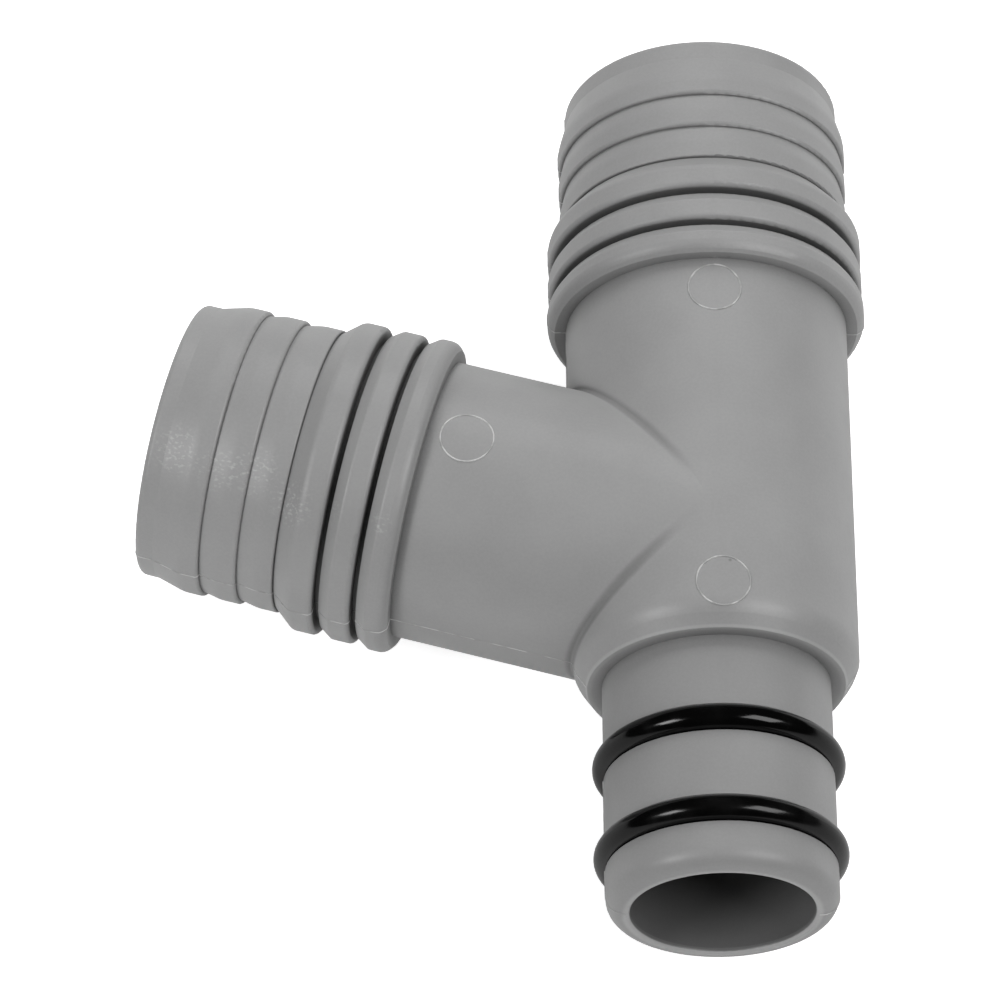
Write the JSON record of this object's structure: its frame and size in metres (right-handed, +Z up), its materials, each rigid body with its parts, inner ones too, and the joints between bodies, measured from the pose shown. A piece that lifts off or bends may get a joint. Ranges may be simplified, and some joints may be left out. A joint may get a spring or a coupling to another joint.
{
  "type": "tubing y connector",
  "caption": "Y-shaped tubing connector with a straight and a slanted hose barb, and a plug-in spigot sealed by rubber rings.",
  "frame": {"origin": "centre of the shoulder face that the spigot stands on, on the run's centre line", "axes": "+Y along the run, from the spigot to the straight hose barb; the branch leans to -X in the XY plane; +Z up, square to the plane of both arms"},
  "size_m": [0.0648, 0.0809, 0.0286],
  "materials": {
    "moulded_plastic": "satin moulded grey plastic",
    "seal_rubber": "smooth black rubber, lightly greased"
  },
  "bodies": {
    "root": {"connector_body": "moulded_plastic", "inner_sealing_ring": "seal_rubber", "outer_sealing_ring": "seal_rubber"}
  },
  "joints": []
}
